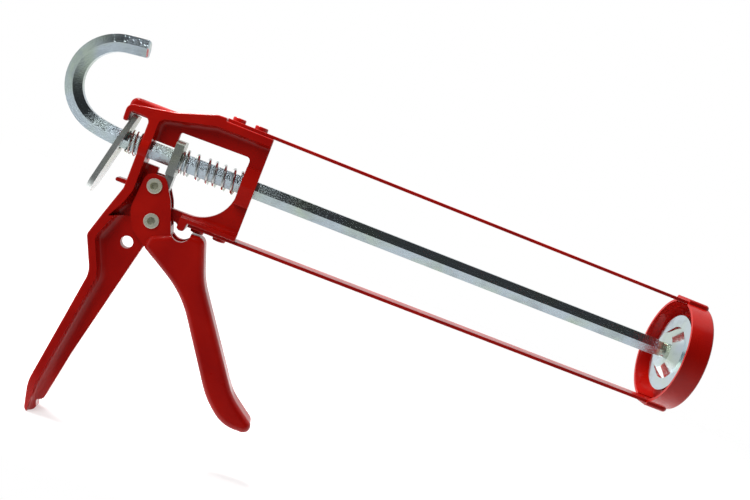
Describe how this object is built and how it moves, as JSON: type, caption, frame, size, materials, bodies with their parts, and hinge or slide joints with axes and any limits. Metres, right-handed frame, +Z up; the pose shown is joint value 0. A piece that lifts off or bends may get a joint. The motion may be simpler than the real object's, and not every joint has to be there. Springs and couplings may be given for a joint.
{
  "type": "caulking gun",
  "caption": "Hand-held skeleton caulking gun: cast frame with handle, trigger, strap cradle and ring, hexagonal push rod with disc and hook, and release plate.",
  "frame": {"origin": "point on the push rod's axis at the front face of the frame's front post, where the cartridge's back edge rests", "axes": "+X forward along the push rod towards the nozzle ring, +Z up with the handle hanging down, +Y to the left of a user who points the gun forward"},
  "size_m": [0.3236, 0.054, 0.1789],
  "materials": {
    "red_cast_paint": "gloss red paint over a casting",
    "red_steel_paint": "gloss red paint over pressed steel",
    "zinc_plate": "bright zinc plating on drawn and punched steel",
    "disc_zinc": "bright zinc plating on pressed steel",
    "spring_zinc": "zinc-plated spring wire",
    "rivet_zinc": "zinc-plated tubular rivet",
    "fastener_zinc": "zinc-plated fastener"
  },
  "bodies": {
    "frame": {"frame_casting": "red_cast_paint", "top_strap": "red_steel_paint", "bottom_strap": "red_steel_paint", "front_ring": "red_steel_paint", "top_rear_strap_rivet": "red_steel_paint", "top_front_strap_rivet": "red_steel_paint", "bottom_rear_strap_rivet": "red_steel_paint", "bottom_front_strap_rivet": "red_steel_paint", "pivot_rivet": "rivet_zinc", "main_spring": "spring_zinc", "release_spring": "spring_zinc"},
    "trigger": {"trigger_lever": "red_cast_paint", "drive_rivet": "rivet_zinc"},
    "drive_plate": {"drive_plate": "zinc_plate"},
    "release_plate": {"release_plate": "zinc_plate"},
    "push_rod": {"push_rod": "zinc_plate", "pusher_disc": "disc_zinc", "disc_rear_nut": "fastener_zinc", "disc_lock_washer": "fastener_zinc", "disc_front_nut": "fastener_zinc"}
  },
  "joints": [
    {"name": "trigger_squeeze", "type": "hinge", "parent": "frame", "child": "trigger", "pos_m": [-0.0387, 0, -0.03], "axis": [0, 1, 0], "range_deg": [0, 35], "stiffness_Nm_per_rad": 0.38, "springref_deg": -36.1},
    {"name": "plate_advance", "type": "slide", "parent": "frame", "child": "drive_plate", "axis": [1, 0, 0], "range_m": [0, 0.0099], "deforming": ["main_spring"]},
    {"name": "release_press", "type": "hinge", "parent": "frame", "child": "release_plate", "pos_m": [-0.0619, 0, 0.0116], "axis": [0, -1, 0], "range_deg": [0, 12], "stiffness_Nm_per_rad": 0.04, "springref_deg": -42.97, "deforming": ["release_spring"]},
    {"name": "rod_slide", "type": "slide", "parent": "frame", "child": "push_rod", "axis": [1, 0, 0], "range_m": [-0.205, 0]}
  ],
  "couplings": [
    {"joint": "plate_advance", "follows": "trigger_squeeze", "m_per_rad": 0.0158}
  ]
}
